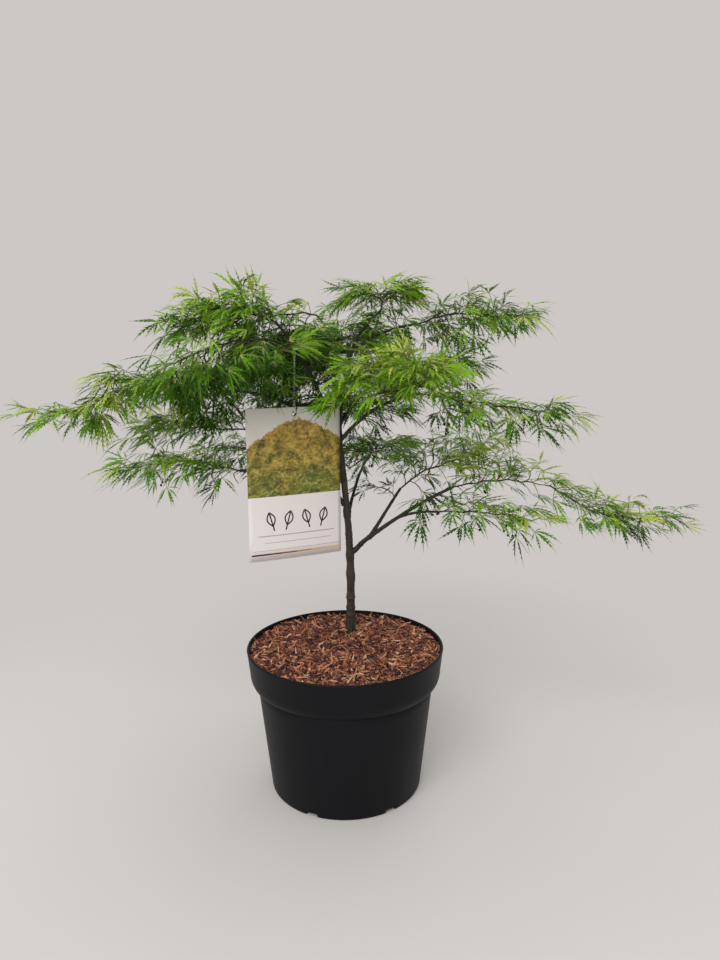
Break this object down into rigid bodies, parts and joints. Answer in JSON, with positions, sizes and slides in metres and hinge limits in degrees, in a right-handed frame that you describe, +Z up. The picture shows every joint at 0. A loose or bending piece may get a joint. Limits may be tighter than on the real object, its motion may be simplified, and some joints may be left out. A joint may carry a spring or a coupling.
{
  "type": "potted japanese maple",
  "caption": "Young cut-leaf Japanese maple with arching boughs and drooping tiers of fine foliage, in a round nursery pot with bark mulch.",
  "frame": {"origin": "centre of the pot's flat underside, on the floor", "axes": "+Z up, +X to the plant's right as seen from the front, +Y to its rear"},
  "size_m": [0.8738, 0.496, 0.6827],
  "materials": {
    "pot_plastic": "semi-matt moulded polypropylene",
    "compost": "moist bark and fibre compost",
    "bark_mulch": "shredded conifer bark",
    "bark": "smooth young bark with pores",
    "foliage": "fine cut leaves, satin",
    "label_card": "printed plastic card",
    "label_loop": "clear plastic strand"
  },
  "bodies": {
    "root": {"pot": "pot_plastic", "compost": "compost", "bark_mulch": "bark_mulch", "trunk": "bark", "leader": "bark", "low_right_bough": "bark", "low_right_arm": "bark", "low_right_rear_limb": "bark", "low_right_front_limb": "bark", "low_left_bough": "bark", "low_left_rear_limb": "bark", "low_rear_bough": "bark", "mid_right_bough": "bark", "front_right_limb": "bark", "mid_left_bough": "bark", "left_bough": "bark", "upper_left_bough": "bark", "front_left_limb": "bark", "upper_right_bough": "bark", "top_limb": "bark", "crown_left_limb": "bark", "rear_left_bough": "bark", "rear_bough": "bark", "rear_right_bough": "bark", "label_card": "label_card", "label_loop": "label_loop", "crown_top": "foliage", "crown_left": "foliage", "upper_right": "foliage", "upper_left": "foliage", "front_left": "foliage", "left": "foliage", "far_left": "foliage", "mid_left": "foliage", "low_left": "foliage", "low_left_rear": "foliage", "low_rear": "foliage", "mid_right": "foliage", "front_right": "foliage", "low_right": "foliage", "far_right": "foliage", "low_right_front": "foliage", "low_right_rear": "foliage", "rear_left": "foliage", "rear": "foliage", "rear_right": "foliage"}
  },
  "joints": []
}
